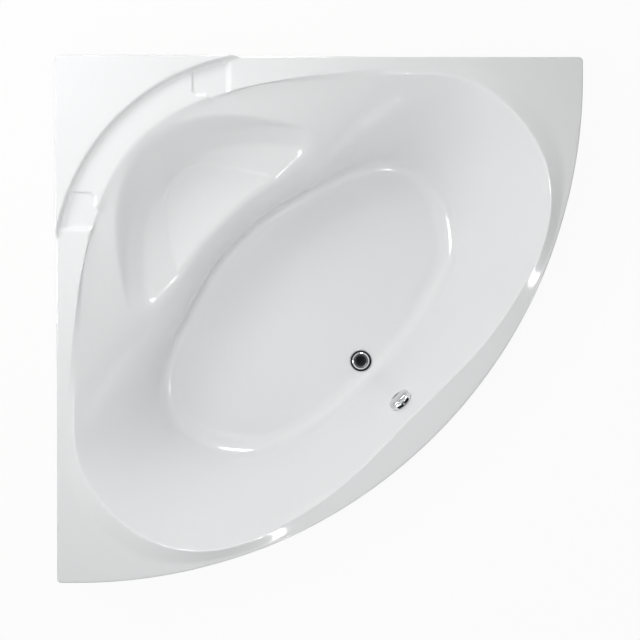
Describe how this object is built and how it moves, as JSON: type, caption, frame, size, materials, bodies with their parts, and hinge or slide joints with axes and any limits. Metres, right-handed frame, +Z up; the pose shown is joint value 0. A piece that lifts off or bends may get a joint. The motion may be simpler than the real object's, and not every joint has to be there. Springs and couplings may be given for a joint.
{
  "type": "corner bathtub",
  "caption": "Corner bathtub with a quarter-round front, moulded seat, raised corner shelf, soap dishes, pop-up waste worked by the overflow knob, levelling feet and a curved front panel.",
  "frame": {"origin": "centre of the 1500 mm square on the floor, under the feet", "axes": "+Z up; the wall sides lie along -X and +Y, the room corner is at -X +Y, and the round front faces +X -Y"},
  "size_m": [1.5, 1.5, 0.588],
  "materials": {
    "acrylic": "high gloss white",
    "chrome": "polished",
    "white_plastic": "satin",
    "rubber": "matt",
    "brass": "turned",
    "cable_sleeve": "matt",
    "steel": "zinc plated",
    "board": "raw chipboard",
    "foot_plastic": "moulded"
  },
  "bodies": {
    "tub": {"acrylic_shell": "acrylic", "base_board": "board", "board_screws": "steel", "foot_lock_nuts": "steel", "foot_top_nuts": "steel", "front_panel": "acrylic", "front_rail": "steel", "lever_pin": "brass", "lifting_cable": "cable_sleeve", "outlet_nut": "white_plastic", "outlet_pipe": "white_plastic", "overflow_body": "white_plastic", "overflow_face": "chrome", "overflow_pipe": "white_plastic", "overflow_seal": "rubber", "panel_bracket_left": "steel", "panel_bracket_right": "steel", "panel_screws": "steel", "pipe_nut_lower": "white_plastic", "pipe_nut_upper": "white_plastic", "rear_rail": "steel", "seat_board": "board", "seat_post": "steel", "spine_rail_front": "steel", "spine_rail_rear": "steel", "trap_bend": "white_plastic", "trap_nut": "white_plastic", "wall_bracket_left_inner": "steel", "wall_bracket_left_outer": "steel", "wall_bracket_rear_inner": "steel", "wall_bracket_rear_outer": "steel", "waste_body": "white_plastic", "waste_flange": "chrome", "waste_seal_lower": "rubber", "waste_seal_upper": "rubber"},
    "knob": {"overflow_knob": "chrome", "knob_spindle": "brass"},
    "plug": {"plug_cap": "chrome", "plug_seal": "rubber", "plug_stem": "brass"},
    "lever": {"lift_lever": "steel"},
    "foot_front_left": {"foot_pad_front_left": "foot_plastic", "foot_stud_front_left": "steel"},
    "foot_front_right": {"foot_pad_front_right": "foot_plastic", "foot_stud_front_right": "steel"},
    "foot_rear_left": {"foot_pad_rear_left": "foot_plastic", "foot_stud_rear_left": "steel"},
    "foot_rear_right": {"foot_pad_rear_right": "foot_plastic", "foot_stud_rear_right": "steel"},
    "foot_corner": {"foot_pad_corner": "foot_plastic", "foot_stud_corner": "steel"}
  },
  "joints": [
    {"name": "knob_turn", "type": "hinge", "parent": "tub", "child": "knob", "pos_m": [0.24136, -0.24136, 0.455], "axis": [-0.6645, 0.6645, 0.342], "range_deg": [0, 100]},
    {"name": "plug_lift", "type": "slide", "parent": "tub", "child": "plug", "axis": [0, 0, 1], "range_m": [0, 0.01]},
    {"name": "lever_swing", "type": "hinge", "parent": "tub", "child": "lever", "pos_m": [0.14449, -0.14449, 0.0865], "axis": [0.7071, 0.7071, 0], "range_deg": [0, 34]},
    {"name": "front_left_foot_height", "type": "slide", "parent": "tub", "child": "foot_front_left", "axis": [0, 0, -1], "range_m": [0, 0.03]},
    {"name": "front_right_foot_height", "type": "slide", "parent": "tub", "child": "foot_front_right", "axis": [0, 0, -1], "range_m": [0, 0.03]},
    {"name": "rear_left_foot_height", "type": "slide", "parent": "tub", "child": "foot_rear_left", "axis": [0, 0, -1], "range_m": [0, 0.03]},
    {"name": "rear_right_foot_height", "type": "slide", "parent": "tub", "child": "foot_rear_right", "axis": [0, 0, -1], "range_m": [0, 0.03]},
    {"name": "corner_foot_height", "type": "slide", "parent": "tub", "child": "foot_corner", "axis": [0, 0, -1], "range_m": [0, 0.03]}
  ],
  "couplings": [
    {"joint": "plug_lift", "follows": "knob_turn", "m_per_rad": 0.0057},
    {"joint": "lever_swing", "follows": "knob_turn", "ratio": 0.337}
  ]
}
